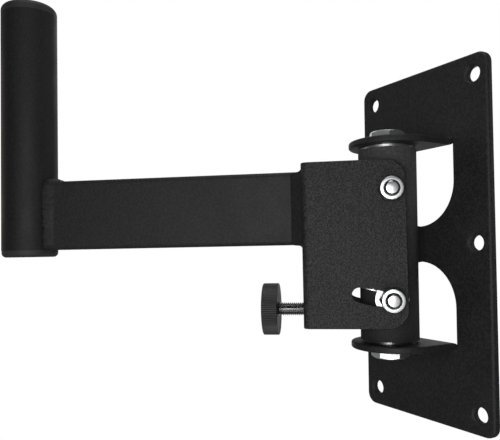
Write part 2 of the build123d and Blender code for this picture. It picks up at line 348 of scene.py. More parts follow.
    @staticmethod
    def thread(name: str, diameter: float, pitch: float, length: float, steps: int = 32) -> Piece:
        """Makes a threaded rod along Z with a real helix.

        Args:
            name: The piece's name.
            diameter: The thread's outer diameter, in millimetres.
            pitch: The thread's pitch, in millimetres.
            length: The rod's length, in millimetres.
            steps: Number of segments in a turn.

        Returns:
            The rod, from the origin up.
        """
        crest = diameter / 2
        root = crest - Bench.THREAD_DEPTH * pitch
        root_end, rise_end, crest_end = Bench.THREAD_ENDS
        form = ((root, 0.0), (root, root_end), (crest, rise_end), (crest, crest_end), (root, 1.0))
        rod = Bench.chain(name, [(radius, (share - 1) * pitch) for radius, share in form])
        bpy.ops.object.mode_set(mode="OBJECT")
        helix = rod.modifiers.new("helix", "SCREW")
        helix.axis = "Z"
        helix.angle = 2 * pi
        helix.screw_offset = pitch * MM
        helix.iterations = int(length / pitch) + Bench.SPARE_TURNS
        helix.steps = steps
        helix.render_steps = steps
        helix.use_merge_vertices = True
        helix.merge_threshold = Bench.MERGE
        Bench.apply(rod)
        bpy.ops.object.mode_set(mode="EDIT")
        bpy.ops.mesh.select_all(action="SELECT")
        bpy.ops.mesh.remove_doubles(threshold=2 * Bench.MERGE)
        for height, spare in ((0, "clear_inner"), (length, "clear_outer")):
            plane = (0, 0, height * MM)
            bpy.ops.mesh.select_all(action="SELECT")
            bpy.ops.mesh.bisect(plane_co=plane, plane_no=(0, 0, 1), use_fill=True, **{spare: True})
        Bench.close()
        return rod

    @staticmethod
    def cut(piece: Piece, cutter: Piece, operation: str, keep: bool = False) -> Piece:
        """Cuts a piece with another.

        Args:
            piece: The piece to cut.
            cutter: The piece that cuts it.
            operation: The Boolean operation.
            keep: Whether the cutter stays; otherwise it is used up.

        Returns:
            The cut piece.
        """
        boolean = piece.modifiers.new("cut", "BOOLEAN")
        boolean.operation = operation
        boolean.solver = "EXACT"
        boolean.object = cutter
        Bench.apply(piece)
        if not keep:
            bpy.data.objects.remove(cutter)
        return piece

    @staticmethod
    def hexagon(name: str, flats: float, height: float, bore: float = 0.0) -> Piece:
        """Makes a hexagon along Z whose corners are turned down to a round crown at both ends.

        Args:
            name: The piece's name.
            flats: The size across the flats, in millimetres.
            height: The hexagon's height, in millimetres.
            bore: The radius of a hole through it, in millimetres.

        Returns:
            The hexagon, from the origin up, with a corner on Y.
        """
        corner = flats / sqrt(3)
        outer = corner * Bench.CROWN_OUTER
        inner = flats / 2 * Bench.CROWN_INNER
        crown = (outer - inner) * tan(radians(Bench.CROWN_SLOPE))
        profile = [(bore, 0), (inner, 0), (outer, crown)]
        profile += [(outer, height - crown), (inner, height), (bore, height)]
        if bore:
            profile.append(profile[0])
        cutter = Bench.lathe(f"{name}_crown", profile, steps=96)
        body = Bench.add(
            name,
            bpy.ops.mesh.primitive_cylinder_add,
            vertices=6,
            radius=corner * MM,
            depth=(height + Bench.SPARE_LENGTH) * MM,
            location=(0, 0, height / 2 * MM),
        )
        return Bench.cut(body, cutter, "INTERSECT")

    @staticmethod
    def bead(name: str, drops: Sequence[Drop], seed: int) -> Piece:
        """Lays a bead of weld as overlapping drops along a seam, and melts them together.

        Args:
            name: The piece's name.
            drops: The drops, in order along the seam.
            seed: Start of the drops' small differences.

        Returns:
            The bead, in its place.
        """
        chance = Random(seed)
        pieces = []
        for number, drop in enumerate(drops):
            after = drops[min(number + 1, len(drops) - 1)].middle
            along = (after - drops[max(number - 1, 0)].middle).normalized()
            outward = (drop.outward - along * drop.outward.dot(along)).normalized()
            across = outward.cross(along)
            turn = Matrix((across, outward, along)).transposed()
            size = chance.uniform(*Bench.DROP_SIZES)
            wander = across * chance.uniform(-Bench.DROP_WANDER, Bench.DROP_WANDER)
            piece = Bench.add(
                name,
                bpy.ops.mesh.primitive_uv_sphere_add,
                segments=24,
                ring_count=14,
                radius=MM,
                location=drop.middle + wander * MM,
                rotation=turn.to_euler(),
                scale=(drop.width * size, drop.height * size, Bench.DROP_LENGTH),
            )
            pieces.append(piece)
        bead = Bench.join(name, pieces)
        bpy.ops.object.transform_apply()
        return Bench.melt(bead, rounds=9)

    @staticmethod
    def melt(piece: Piece, rounds: int) -> Piece:
        """Melts a piece's overlapping bodies into one smooth skin.

        Args:
            piece: The piece.
            rounds: How often the skin is smoothed.

        Returns:
            The same piece.
        """
        Bench.activate(piece)
        piece.data.remesh_voxel_size = Bench.WELD_GRID * MM
        bpy.ops.object.voxel_remesh()
        melted = piece.modifiers.new("melted", "SMOOTH")
        melted.factor = 0.5
        melted.iterations = rounds
        Bench.apply(piece)
        return piece

    @staticmethod
    def collar(name: str, rings: Sequence[Triple]) -> Piece:
        """Makes a round-edged block along Z from rectangular rings, the fillet of a weld round a bar.

        Args:
            name: The piece's name.
            rings: Width, height and place along Z of each ring, in millimetres.

        Returns:
            The block.
        """
        width, height, along = rings[0]
        block = Bench.add(name, bpy.ops.mesh.primitive_plane_add, size=MM, location=(0, 0, along * MM))
        block.scale = (width, height, 1.0)
        bpy.ops.object.transform_apply()
        bpy.ops.object.mode_set(mode="EDIT")
        bpy.ops.mesh.select_all(action="SELECT")
        for before, after in zip(rings, rings[1:]):
            step = (0, 0, (after[2] - before[2]) * MM)
            bpy.ops.mesh.extrude_region_move(TRANSFORM_OT_translate={"value": step})
            size = (after[0] / before[0], after[1] / before[1], 1.0)
            bpy.ops.transform.resize(value=size, center_override=(0, 0, after[2] * MM))
        Bench.close()
        rounded = block.modifiers.new("rounded", "BEVEL")
        rounded.width = Bench.EDGE_ROUND * MM
        rounded.segments = Bench.EDGE_STEPS
        Bench.apply(block)
        return Bench.melt(block, rounds=4)


class Graph:
    """A node tree with short calls that add, set and join nodes."""

    def __init__(self, tree: bpy.types.NodeTree) -> None:
        """Wraps a node tree."""
        self.tree = tree

    def add(self, kind: str, inputs: dict | None = None, **settings: object) -> bpy.types.Node:
        """Adds a node, sets its properties and sets or joins its inputs.

        Args:
            kind: The node's type name, without the leading ShaderNode.
            inputs: Socket names or numbers, each with a value or the output to join.
            **settings: Properties of the node.

        Returns:
            The new node.
        """
        node = self.tree.nodes.new(f"ShaderNode{kind}")
        for key, value in settings.items():
            setattr(node, key, value)
        for key, value in (inputs or {}).items():
            self.feed(node.inputs[key], value)
        return node

    def feed(self, socket: Socket, value: object) -> None:
        """Joins an output to a socket, or sets the socket's own value."""
        if isinstance(value, Socket):
            self.tree.links.new(value, socket)
        else:
            socket.default_value = value

    def place(self) -> Socket:
        """Gives the place on the piece, in its own frame."""
        return self.add("TexCoord").outputs["Object"]

    def math(self, operation: str, *values: object) -> Socket:
        """Adds a Math node and gives its result."""
        return self.add("Math", dict(enumerate(values)), operation=operation).outputs[0]

    def span(
        self, value: object, low: float, high: float, to_low: object = 0.0, to_high: object = 1.0
    ) -> Socket:
        """Maps a value from one span to another, held at both ends."""
        inputs = {0: value, 1: low, 2: high, 3: to_low, 4: to_high}
        return self.add("MapRange", inputs).outputs[0]

    def mix(self, share: object, first: object, second: object) -> Socket:
        """Mixes two colours by a share."""
        return self.add("Mix", {0: share, 6: first, 7: second}, data_type="RGBA").outputs[2]


class Effects:
    """Node groups that several finishes share, each built once."""

    @staticmethod
    def start(name: str, scale: float, outputs: Sequence[str]) -> tuple[Graph, Socket, dict[str, Socket]]:
        """Makes an empty group with a scale and float outputs.

        Args:
            name: The group's name.
            scale: First value of its scale.
            outputs: Name of each output.

        Returns:
            The group's graph, the socket of its scale and its output sockets by name.
        """
        tree = bpy.data.node_groups.new(name, "ShaderNodeTree")
        socket = tree.interface.new_socket(name="Scale", in_out="INPUT", socket_type="NodeSocketFloat")
        socket.default_value = scale
        for label in outputs:
            tree.interface.new_socket(name=label, in_out="OUTPUT", socket_type="NodeSocketFloat")
        entry = tree.nodes.new("NodeGroupInput")
        leave = tree.nodes.new("NodeGroupOutput")
        return Graph(tree), entry.outputs["Scale"], {s.name: s for s in leave.inputs}

    @staticmethod
    @cache
    def sand() -> bpy.types.NodeTree:
        """Builds the fine orange-peel texture of a baked coat.

        Returns:
            The group, which gives the texture's height and its light specks.
        """
        finer, fine_share = 2.3, 0.45
        speck_start, speck_full = 0.67, 0.81
        graph, scale, wanted = Effects.start("baked_sand", 900.0, ("Height", "Speck"))
        place = graph.place()
        wide = graph.add("TexNoise", {"Vector": place, "Scale": scale, "Detail": 2.0, "Roughness": 0.55})
        fine_scale = graph.math("MULTIPLY", scale, finer)
        fine = graph.add("TexNoise", {"Vector": place, "Scale": fine_scale, "Detail": 1.0})
        height = graph.math("MULTIPLY_ADD", fine.outputs["Fac"], fine_share, wide.outputs["Fac"])
        graph.feed(wanted["Height"], height)
        graph.feed(wanted["Speck"], graph.span(height, speck_start, speck_full))
        return graph.tree

    @staticmethod
    @cache
    def clouds() -> bpy.types.NodeTree:
        """Builds slow changes of tone over a surface, as from handling and uneven coating.

        Returns:
            The group, which gives the tone.
        """
        low, high = 0.3, 0.7
        graph, scale, wanted = Effects.start("handling_clouds", 40.0, ("Tone",))
        noise = graph.add("TexNoise", {"Vector": graph.place(), "Scale": scale, "Detail": 3.0})
        graph.feed(wanted["Tone"], graph.span(noise.outputs["Fac"], low, high))
        return graph.tree


class Finish:
    """A material under construction, with its shader and its shared effects."""

    def __init__(self, name: str) -> None:
        """Starts a material with a bare shader.

        Args:
            name: The material's name.
        """
        self.material = bpy.data.materials.new(name)
        self.material.use_nodes = True
        self.graph = Graph(self.material.node_tree)
        self.shader = next(n for n in self.material.node_tree.nodes if n.type == "BSDF_PRINCIPLED")

    def effect(self, tree: bpy.types.NodeTree, scale: float) -> bpy.types.NodeOutputs:
        """Places a shared effect at a scale of its own and gives its outputs."""
        return self.graph.add("Group", {"Scale": scale}, node_tree=tree).outputs

    def set(self, **sockets: object) -> None:
        """Sets or joins the shader's sockets, named with underscores for spaces."""
        for key, value in sockets.items():
            self.graph.feed(self.shader.inputs[key.replace("_", " ")], value)

    def bump(self, height: object, strength: float, distance: float) -> None:
        """Feeds a height to the shader's normal."""
        inputs = {"Height": height, "Strength": strength, "Distance": distance * MM}
        self.set(Normal=self.graph.add("Bump", inputs).outputs["Normal"])


@dataclass(frozen=True)
class WornPatch:
    """Strip along a slot's edge where sliding has rubbed the coat off. Lengths are in millimetres.

    Attributes:
        axes: The arm's axes; the slot is an arc about their pivot.
        radius: Radius of the rubbed edge.
        width: Width of the rubbed strip inside that edge.
        start: Where the strip starts along the arm.
        end: Where it ends.
        depth: Lowest distance across the arm at which the coat is rubbed.
        ragged: How far the strip's inner edge wanders.
        below: Height under the pivot from which the strip is whole.
        metal: Colour of the bare metal.
        gloss: Roughness of the bare metal.
    """

    axes: ArmAxes
    radius: float = 57.8
    width: float = 0.6
    start: float = 1.0
    end: float = 15.5
    depth: float = 20.0
    ragged: float = 3.4
    below: float = -11.0
    metal: Colour = grey(0.62)
    gloss: float = 0.3

    def mask(self, graph: Graph) -> Socket:
        """Builds the strip's mask.

        Args:
            graph: The material's graph.

        Returns:
            A value that is 1 where the metal is bare.
        """
        place = graph.place()
        offset = graph.add("VectorMath", {0: place, 1: self.axes.pivot}, operation="SUBTRACT").outputs[0]
        across, along, height = [
            graph.add("VectorMath", {0: offset, 1: axis}, operation="DOT_PRODUCT").outputs["Value"]
            for axis in (self.axes.side, self.axes.out, self.axes.up)
        ]
        squares = graph.math("ADD", graph.math("POWER", along, 2.0), graph.math("POWER", height, 2.0))
        reach = graph.math("SQRT", squares)
        noise = graph.add("TexNoise", {"Vector": place, "Scale": 620.0, "Detail": 4.0, "Roughness": 0.7})
        edge = graph.math("MULTIPLY_ADD", noise.outputs["Fac"], self.ragged * MM, reach)
        inner = self.radius - self.width + self.ragged / 2
        # What is measured, where the strip is gone and where it is whole, with a soft change between them
        limits = (
            (edge, inner - 0.15, inner + 0.15),
            (reach, self.radius + 0.8, self.radius + 0.6),
            (along, self.start, self.start + 2.0),
            (along, self.end, self.end - 3.0),
            (height, self.below + 1.0, self.below),
            (across, self.depth - 0.2, self.depth),
        )
        mask = 1.0
        for measure, gone, whole in limits:
            mask = graph.math("MULTIPLY", mask, graph.span(measure, gone * MM, whole * MM))
        return mask


@dataclass(frozen=True)
class PowderCoat:
    """Black fine-sand powder coat on steel.

    Attributes:
        dark: Colour between the grains.
        light: Colour of the specks.
        roughness: Middle roughness of the coat.
        grain: Grains in a metre.
        relief: Strength of the grains' relief.
        speck: Share of the specks in the coat's tone.
        painted_shade_heights: Heights, in millimetres, below which the coat is darkened as painted shade and
            above which it has all of its tone, if any.
        worn: Patch that is rubbed to bare metal, if any.
    """

    dark: Colour = grey(0.007)
    light: Colour = grey(0.02)
    roughness: float = 0.62
    grain: float = 850.0
    relief: float = 0.45
    speck: float = 0.75
    painted_shade_heights: tuple[float, float] | None = None
    worn: WornPatch | None = None

    # Clouds in a metre and their share, change of roughness over them, depth of the grains in millimetres
    CLOUDS = 38.0
    CLOUD_SHARE = 0.25
    SMOOTHER, ROUGHER = 0.05, 0.06
    DEPTH = 0.12
    # Strength of the mirror light, and share of the tone where the painted shade is deepest
    MIRROR = 0.35
    PAINTED_SHADE_SHARE = 0.25

    def make(self, name: str) -> Material:
        """Builds the material. A coat with fewer specks is lifted as a whole, so that its mean tone stays.

        Args:
            name: The material's name.

        Returns:
            The material.
        """
        finish = Finish(name)
        graph = finish.graph
        sand = finish.effect(Effects.sand(), self.grain)
        tone = finish.effect(Effects.clouds(), self.CLOUDS)["Tone"]
        lift = (PowderCoat.speck - self.speck) / 2
        clouded = graph.math("MULTIPLY_ADD", tone, self.CLOUD_SHARE, lift)
        share = graph.math("MULTIPLY_ADD", sand["Speck"], self.speck, clouded)
        # Painted shade: the coat darkens towards the bottom of the piece, below the given heights
        if self.painted_shade_heights:
            low, high = self.painted_shade_heights
            height = graph.add("SeparateXYZ", {"Vector": graph.place()}).outputs["Z"]
            share = graph.math("MULTIPLY", share, graph.span(height, low * MM, high * MM, self.PAINTED_SHADE_SHARE))
        colour = graph.mix(share, self.dark, self.light)
        roughness = graph.span(tone, 0.0, 1.0, self.roughness - self.SMOOTHER, self.roughness + self.ROUGHER)
        if self.worn:
            mask = self.worn.mask(graph)
            colour = graph.mix(mask, colour, self.worn.metal)
            roughness = graph.span(mask, 0.0, 1.0, roughness, self.worn.gloss)
            finish.set(Metallic=mask)
        finish.set(Base_Color=colour, Roughness=roughness, Specular_IOR_Level=self.MIRROR)
        finish.bump(sand["Height"], self.relief, self.DEPTH)
        return finish.material


@dataclass(frozen=True)
class SmoothFinish:
    """What smooth finishes share: clouds of a second colour over a very fine grain.

    Attributes:
        main: Colour of most of the surface.
        second: Colour of the clouds.
        roughness: Middle roughness.
    """

    main: Colour
    second: Colour
    roughness: float

    METAL: ClassVar[float]
    CLOUDS: ClassVar[float]
    CLOUD_SHARE: ClassVar[float]
    SMOOTHER: ClassVar[float]
    ROUGHER: ClassVar[float]
    GRAIN: ClassVar[float]
    RELIEF: ClassVar[float]
    DEPTH: ClassVar[float]

    def make(self, name: str) -> Material:
        """Builds the material with the numbers of its kind, which mean what they do in a powder coat.

        Args:
            name: The material's name.

        Returns:
            The material.
        """
        finish = Finish(name)
        graph = finish.graph
        tone = finish.effect(Effects.clouds(), self.CLOUDS)["Tone"]
        sand = finish.effect(Effects.sand(), self.GRAIN)
        colour = graph.mix(graph.math("MULTIPLY", tone, self.CLOUD_SHARE), self.main, self.second)
        roughness = graph.span(tone, 0.0, 1.0, self.roughness - self.SMOOTHER, self.roughness + self.ROUGHER)
        finish.set(Base_Color=colour, Roughness=roughness, Metallic=self.METAL)
        finish.bump(sand["Height"], self.RELIEF, self.DEPTH)
        return finish.material


class ZincPlate(SmoothFinish):
    """Zinc-plated steel with duller clouds."""

    METAL = 1.0
    CLOUDS = 170.0
    CLOUD_SHARE = 0.6
    SMOOTHER, ROUGHER = 0.06, 0.1
    GRAIN = 2600.0
    RELIEF = 0.12
    DEPTH = 0.03


class Plastic(SmoothFinish):
    """Dark plastic, moulded or turned, with lighter rubbed places."""

    METAL = 0.0
    CLOUDS = 90.0
    CLOUD_SHARE = 0.7
    SMOOTHER, ROUGHER = 0.05, 0.08
    GRAIN = 1500.0
    RELIEF = 0.15
    DEPTH = 0.06


class Palette:
    """The part's finishes, one material each."""

    def __init__(self, axes: ArmAxes) -> None:
        """Builds every material once.

        Args:
            axes: The arm's axes, about which the worn strip lies.
        """
        worn = WornPatch(axes)
        sand = PowderCoat(grey(0.001), grey(0.034), grain=1150.0, relief=1.8, speck=0.85, worn=worn)
        # Painted light and shade: the post's coat is a much lighter copy of the black coat, darkened towards
        # its bottom
        post = PowderCoat(grey(0.006), grey(0.1), roughness=0.78, speck=0.25, painted_shade_heights=(-42, 50))
        weld = PowderCoat(grey(0.001), grey(0.008), grain=420.0, relief=1.4)
        bright = ZincPlate((0.7, 0.71, 0.72, 1.0), (0.46, 0.47, 0.48, 1.0), 0.36)
        self.coat = PowderCoat().make("black_powder_coat")
        self.sand_coat = sand.make("black_sand_coat")
        # Painted shade: the arm's coat is a darker copy of the black coat
        self.arm_coat_painted_shade = PowderCoat(grey(0.006), grey(0.0165)).make("black_arm_coat")
        # Painted shade: the pole's coat is a darker copy of the black coat
        self.pole_coat_painted_shade = PowderCoat(grey(0.005), grey(0.0125)).make("black_pole_coat")
        self.post_coat_painted_light = post.make("black_post_coat")
        self.weld_coat = weld.make("black_weld_coat")
        self.bright_zinc = bright.make("bright_zinc")
        self.dull_zinc = ZincPlate(grey(0.2), grey(0.12), 0.26).make("dull_zinc")
        # Painted shade: a darker zinc for the nuts' hexagons, which are the same zinc as their collars
        self.painted_shade_zinc = ZincPlate(grey(0.06), grey(0.035), 0.45).make("painted_shade_zinc")
        self.black_steel = ZincPlate(grey(0.22), grey(0.12), 0.28).make("black_steel")
        self.nylon = Plastic(grey(0.008), grey(0.016), 0.5).make("dark_nylon")
        self.moulded = Plastic(grey(0.017), grey(0.034), 0.66).make("moulded_black")
        self.satin = Plastic(grey(0.013), grey(0.027), 0.53).make("satin_black")


def evenly(path: Sequence[Vector], spacing: float) -> list[Vector]:
    """Places points at equal distances along a path.

    Args:
        path: The path's corners.
        spacing: The wanted distance from point to point.

    Returns:
        The points, without the path's end.
    """
    lengths = [(after - before).length for before, after in zip(path, path[1:])]
    count = round(sum(lengths) / spacing)
    points = []
    for number in range(count):
        left = sum(lengths) * number / count
        leg = 0
        while left > lengths[leg]:
            left -= lengths[leg]
            leg += 1
        points.append(path[leg].lerp(path[leg + 1], left / lengths[leg]))
    return points


def dress(node: str, material: Material) -> None:
    """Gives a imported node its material.

    Args:
        node: The node's name.
        material: The material.
    """
    mesh = frame["nodes"][node].data
    mesh.materials.clear()
    mesh.materials.append(material)
    log.info("dressed %s in %s", node, material.name)


def fit(piece: Piece, material: Material, body: Body, nodes: Sequence[str] = ()) -> Piece:
    """Finishes a new piece: its material, the body it rides on and the nodes it stands for.

    Args:
        piece: The piece, in its place.
        material: Its material.
        body: The body that it moves with.
        nodes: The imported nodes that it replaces.

    Returns:
        The same piece.
    """
    piece.data.materials.clear()
    piece.data.materials.append(material)
    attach(piece, body.value)
    if nodes:
        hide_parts(*nodes)
    log.info("made %s, %d faces, on %s", piece.name, len(piece.data.polygons), body.value)
    return piece


@dataclass
class Assembly:
    """What each sub-assembly is built with.

    Attributes:
        palette: The finishes.
        axes: The arm's axes.
    """

    palette: Palette
    axes: ArmAxes


@dataclass
class WallPlate(Assembly):
    """The folded plate on the wall. Its ears' bends are made round, which the solid's aren't.

    Attributes:
        bend: Outer radius of the ears' bends with a hair of clearance, in millimetres.
        fold: Height of the bends' axes above and below the plate's middle.
        inset: Distance of the bends' axes from the wall.
        ear_width: Width of an ear with a hair of clearance at each side.
    """

    bend: float = 6.02
    fold: float = 63.5
    inset: float = 6.0
    ear_width: float = 52.6

    def build(self) -> None:
        """Dresses the plate and stands the pressed one in its place."""
        dress("wall_plate", self.palette.coat)
        fit(self.pressed_plate(), self.palette.coat, Body.PLATE, ("wall_plate",))

    def pressed_plate(self) -> Piece:
        """Makes the plate with round bends, as a press leaves them.

        Returns:
            The plate, shaded so that its flat faces stay flat.
        """
        blank = 500
        plate = Bench.add("pressed_plate", bpy.ops.mesh.primitive_cube_add, size=blank * MM)
        Bench.cut(plate, frame["nodes"]["wall_plate"], "INTERSECT", keep=True)
        for side in (1, -1):
            Bench.cut(plate, self.bend_corner(side), "DIFFERENCE")
        Bench.settle(plate, Matrix.Identity(4))
        evened = plate.modifiers.new("evened", "WEIGHTED_NORMAL")
        evened.keep_sharp = True
        evened.weight = 100
        Bench.apply(plate)
        return plate

    def bend_corner(self, side: int) -> Piece:
        """Makes the block that is outside the round of one ear's bend.

        Args:
            side: 1 for the upper ear, -1 for the lower one.

        Returns:
            The block, in its place.
        """
        behind_wall, beyond_ear = 2.0, 0.5
        depth = self.inset + behind_wall
        height = self.bend + beyond_ear
        middle = (0, (depth / 2 - self.inset) * MM, side * (self.fold - height / 2) * MM)
        size = (self.ear_width * MM, depth * MM, height * MM)
        block = Bench.add("bend_block", bpy.ops.mesh.primitive_cube_add, size=1, location=middle, scale=size)
        bar = Bench.add(
            "bend_bar",
            bpy.ops.mesh.primitive_cylinder_add,
            vertices=256,
            radius=self.bend * MM,
            depth=2 * self.ear_width * MM,
            location=(0, -self.inset * MM, side * self.fold * MM),
            rotation=(0, pi / 2, 0),
        )
        return Bench.cut(block, bar, "DIFFERENCE")


@dataclass
class SwivelPost(Assembly):
    """The post between the ears with its bolts, nuts and washers.

    Attributes:
        swivel_flats: Size of the swivel bolts across the flats, in millimetres.
        swivel_head: Height of their heads.
        swivel_thread: Diameter of their shanks.
        tilt_flats: Size of the tilt bolts and nuts across the flats.
        tilt_head: Height of the tilt bolts' heads.
        tilt_thread: Outer diameter of their thread.
        tilt_pitch: Pitch of their thread.
        tilt_threaded: Length of their thread.
        chamfers: Chamfers of the tilt bolts' ends, by the bolts' use.
        nut_hex: Height of a nut's hexagon.
        nut_collar: Radius of a nut's collar.
        nut_mouth: Radius of the hole in the collar, which the nylon ring fills.
    """

    swivel_flats: float = 19.0
    swivel_head: float = 5.3
    swivel_thread: float = 12.0
    tilt_flats: float = 13.0
    tilt_head: float = 5.3
    tilt_thread: float = 8.0
    tilt_pitch: float = 1.25
    tilt_threaded: float = 14.0
    chamfers: dict[str, float] = field(default_factory=lambda: {"pivot": 0.7, "slot": 0.8})
    nut_hex: float = 5.2
    nut_collar: float = 6.4
    nut_mouth: float = 4.5

    def build(self) -> None:
        """Dresses the post and makes its bolts and nuts."""
        zinc = self.palette.bright_zinc
        dress("swivel_post", self.palette.post_coat_painted_light)
        # Painted highlight: the upper thrust washer wears bright zinc and the lower one dull zinc, though
        # the two are alike
        for end, lift, washer in (("upper", 1, zinc), ("lower", -1, self.palette.dull_zinc)):
            dress(f"{end}_post_plug", zinc)
            dress(f"{end}_thrust_washer", washer)
            dress(f"{end}_swivel_bolt", zinc)
            self.swivel_bolt(end, Vector((0, 0, lift)))
        for use in ("pivot", "slot"):
            dress(f"{use}_bolt", zinc)
            dress(f"{use}_nut", zinc)
            dress(f"{use}_nut_insert", self.palette.nylon)
            self.tilt_bolt(use)
            self.locking_nut(use)
        # Painted shade and highlight: the pivot spacers wear the black coat and the slot spacers bright
        # zinc, though all four are alike
        for hand in ("left", "right"):
            dress(f"pivot_spacer_{hand}", self.palette.coat)
            dress(f"slot_spacer_{hand}", zinc)

    def measure(self, node: str, axis: Vector) -> tuple[NodeRuler, float, float]:
        """Measures a node from the point of the swivel axis at the middle of its height.

        Args:
            node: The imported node's name.
            axis: The axis that it is measured along.

        Returns:
            The node's ruler, and its lowest and highest distance along the axis in millimetres.
        """
        low, high = NodeRuler(node, Vector((0, 0, 0))).span(Vector((0, 0, 1)))
        middle = Vector((self.axes.pivot.x, self.axes.pivot.y, (low + high) / 2 * MM))
        ruler = NodeRuler(node, middle)
        return ruler, *ruler.span(axis)

    def swivel_bolt(self, end: str, axis: Vector) -> Piece:
        """Makes a swivel bolt with a crowned head and a washer face.

        Args:
            end: The end of the post.
            axis: Direction from the shank to the head.

        Returns:
            The bolt.
        """
        node = f"{end}_swivel_bolt"
        ruler, low, high = self.measure(node, axis)
        seat = high - self.swivel_head
        foot = low - seat
        shank = self.swivel_thread / 2
        chamfer, step, face_share = 1.4, 0.5, 0.94
        face = self.swivel_flats / 2 * face_share
        head = Bench.hexagon("swivel_head", self.swivel_flats, self.swivel_head)
        profile = [(0, foot), (shank - chamfer, foot), (shank, foot + chamfer), (shank, 0)]
        profile += [(face, 0), (face, step), (0, step)]
        bolt = Bench.join(f"{end}_crowned_bolt", (head, Bench.lathe("swivel_shank", profile)))
        Bench.settle(bolt, ruler.stand(axis, seat), Bench.CRISP)
        return fit(bolt, self.palette.bright_zinc, Body.POST, (node,))

    def tilt_bolt(self, use: str) -> Piece:
        """Makes a tilt bolt with a crowned head and a threaded, chamfered end.

        Args:
            use: The bolt's use, the first word of its node.

        Returns:
            The bolt.
        """
        node = f"{use}_bolt"
        axis = self.axes.side
        ruler, low, high = self.measure(node, axis)
        seat = low + self.tilt_head
        radius = self.tilt_thread / 2
        threaded = self.tilt_threaded
        plain = high - seat - threaded
        chamfer = self.chamfers[use]
        flat = radius - chamfer
        head = Bench.hexagon("tilt_head", self.tilt_flats, self.tilt_head)
        head.location = (0, 0, -self.tilt_head * MM)
        shank = Bench.lathe("tilt_shank", [(0, 0), (radius, 0), (radius, plain), (0, plain)])
        end = Bench.thread("tilt_end", self.tilt_thread, self.tilt_pitch, threaded, steps=48)
        outline = [(0, -1), (radius + 1, -1), (radius + 1, threaded - chamfer - 1)]
        outline += [(flat, threaded), (0, threaded)]
        Bench.cut(end, Bench.lathe("tilt_chamfer", outline), "INTERSECT")
        end.location = (0, 0, plain * MM)
        bolt = Bench.join(f"{use}_threaded_bolt", (shank, head, end))
        Bench.settle(bolt, ruler.stand(axis, seat), Bench.CRISP)
        rim, slope, shoulder, crown = 0.02, 0.15, 0.07, 0.1
        dome = [(0, 0), (flat, 0), (flat, rim), (flat - slope, shoulder), (0, crown)]
        face = Bench.lathe(f"{use}_bolt_face", dome)
        Bench.settle(face, ruler.stand(axis, high), Bench.CRISP)
        fit(face, self.palette.bright_zinc, Body.POST)
        return fit(bolt, self.palette.dull_zinc, Body.POST, (node,))

    def locking_nut(self, use: str) -> Piece:
        """Makes a locking nut: a crowned hexagon under a collar with a rolled lip.

        Args:
            use: The nut's use, the first word of its node.

        Returns:
            The nut.
        """
        node = f"{use}_nut"
        axis = self.axes.side
        ruler, low, high = self.measure(node, axis)
        play, lap, roll, lip = 0.05, 0.4, 0.35, 0.1
        mouth, collar, height = self.nut_mouth, self.nut_collar, high - low
        foot = self.nut_hex - lap
        bore = self.tilt_thread / 2 + play
        body = Bench.hexagon(f"{use}_nut_hexagon", self.tilt_flats, self.nut_hex, bore)
        profile = [(mouth, foot), (collar, foot)]
        for turn in (0, 30, 60, 90):
            edge = radians(turn)
            profile.append((collar - roll * (1 - cos(edge)), height - roll * (1 - sin(edge))))
        profile += [(mouth + lip, height), (mouth, height - lip), (mouth, foot)]
        ring = Bench.lathe(f"{use}_nut_collar", profile, steps=96)
        for piece in (ring, body):
            Bench.settle(piece, ruler.stand(axis, low), Bench.CRISP)
        fit(ring, self.palette.bright_zinc, Body.POST)
        # Painted shade: the hexagon wears a darker zinc than its collar, though the nut is one zinc part
        return fit(body, self.palette.painted_shade_zinc, Body.POST, (node,))


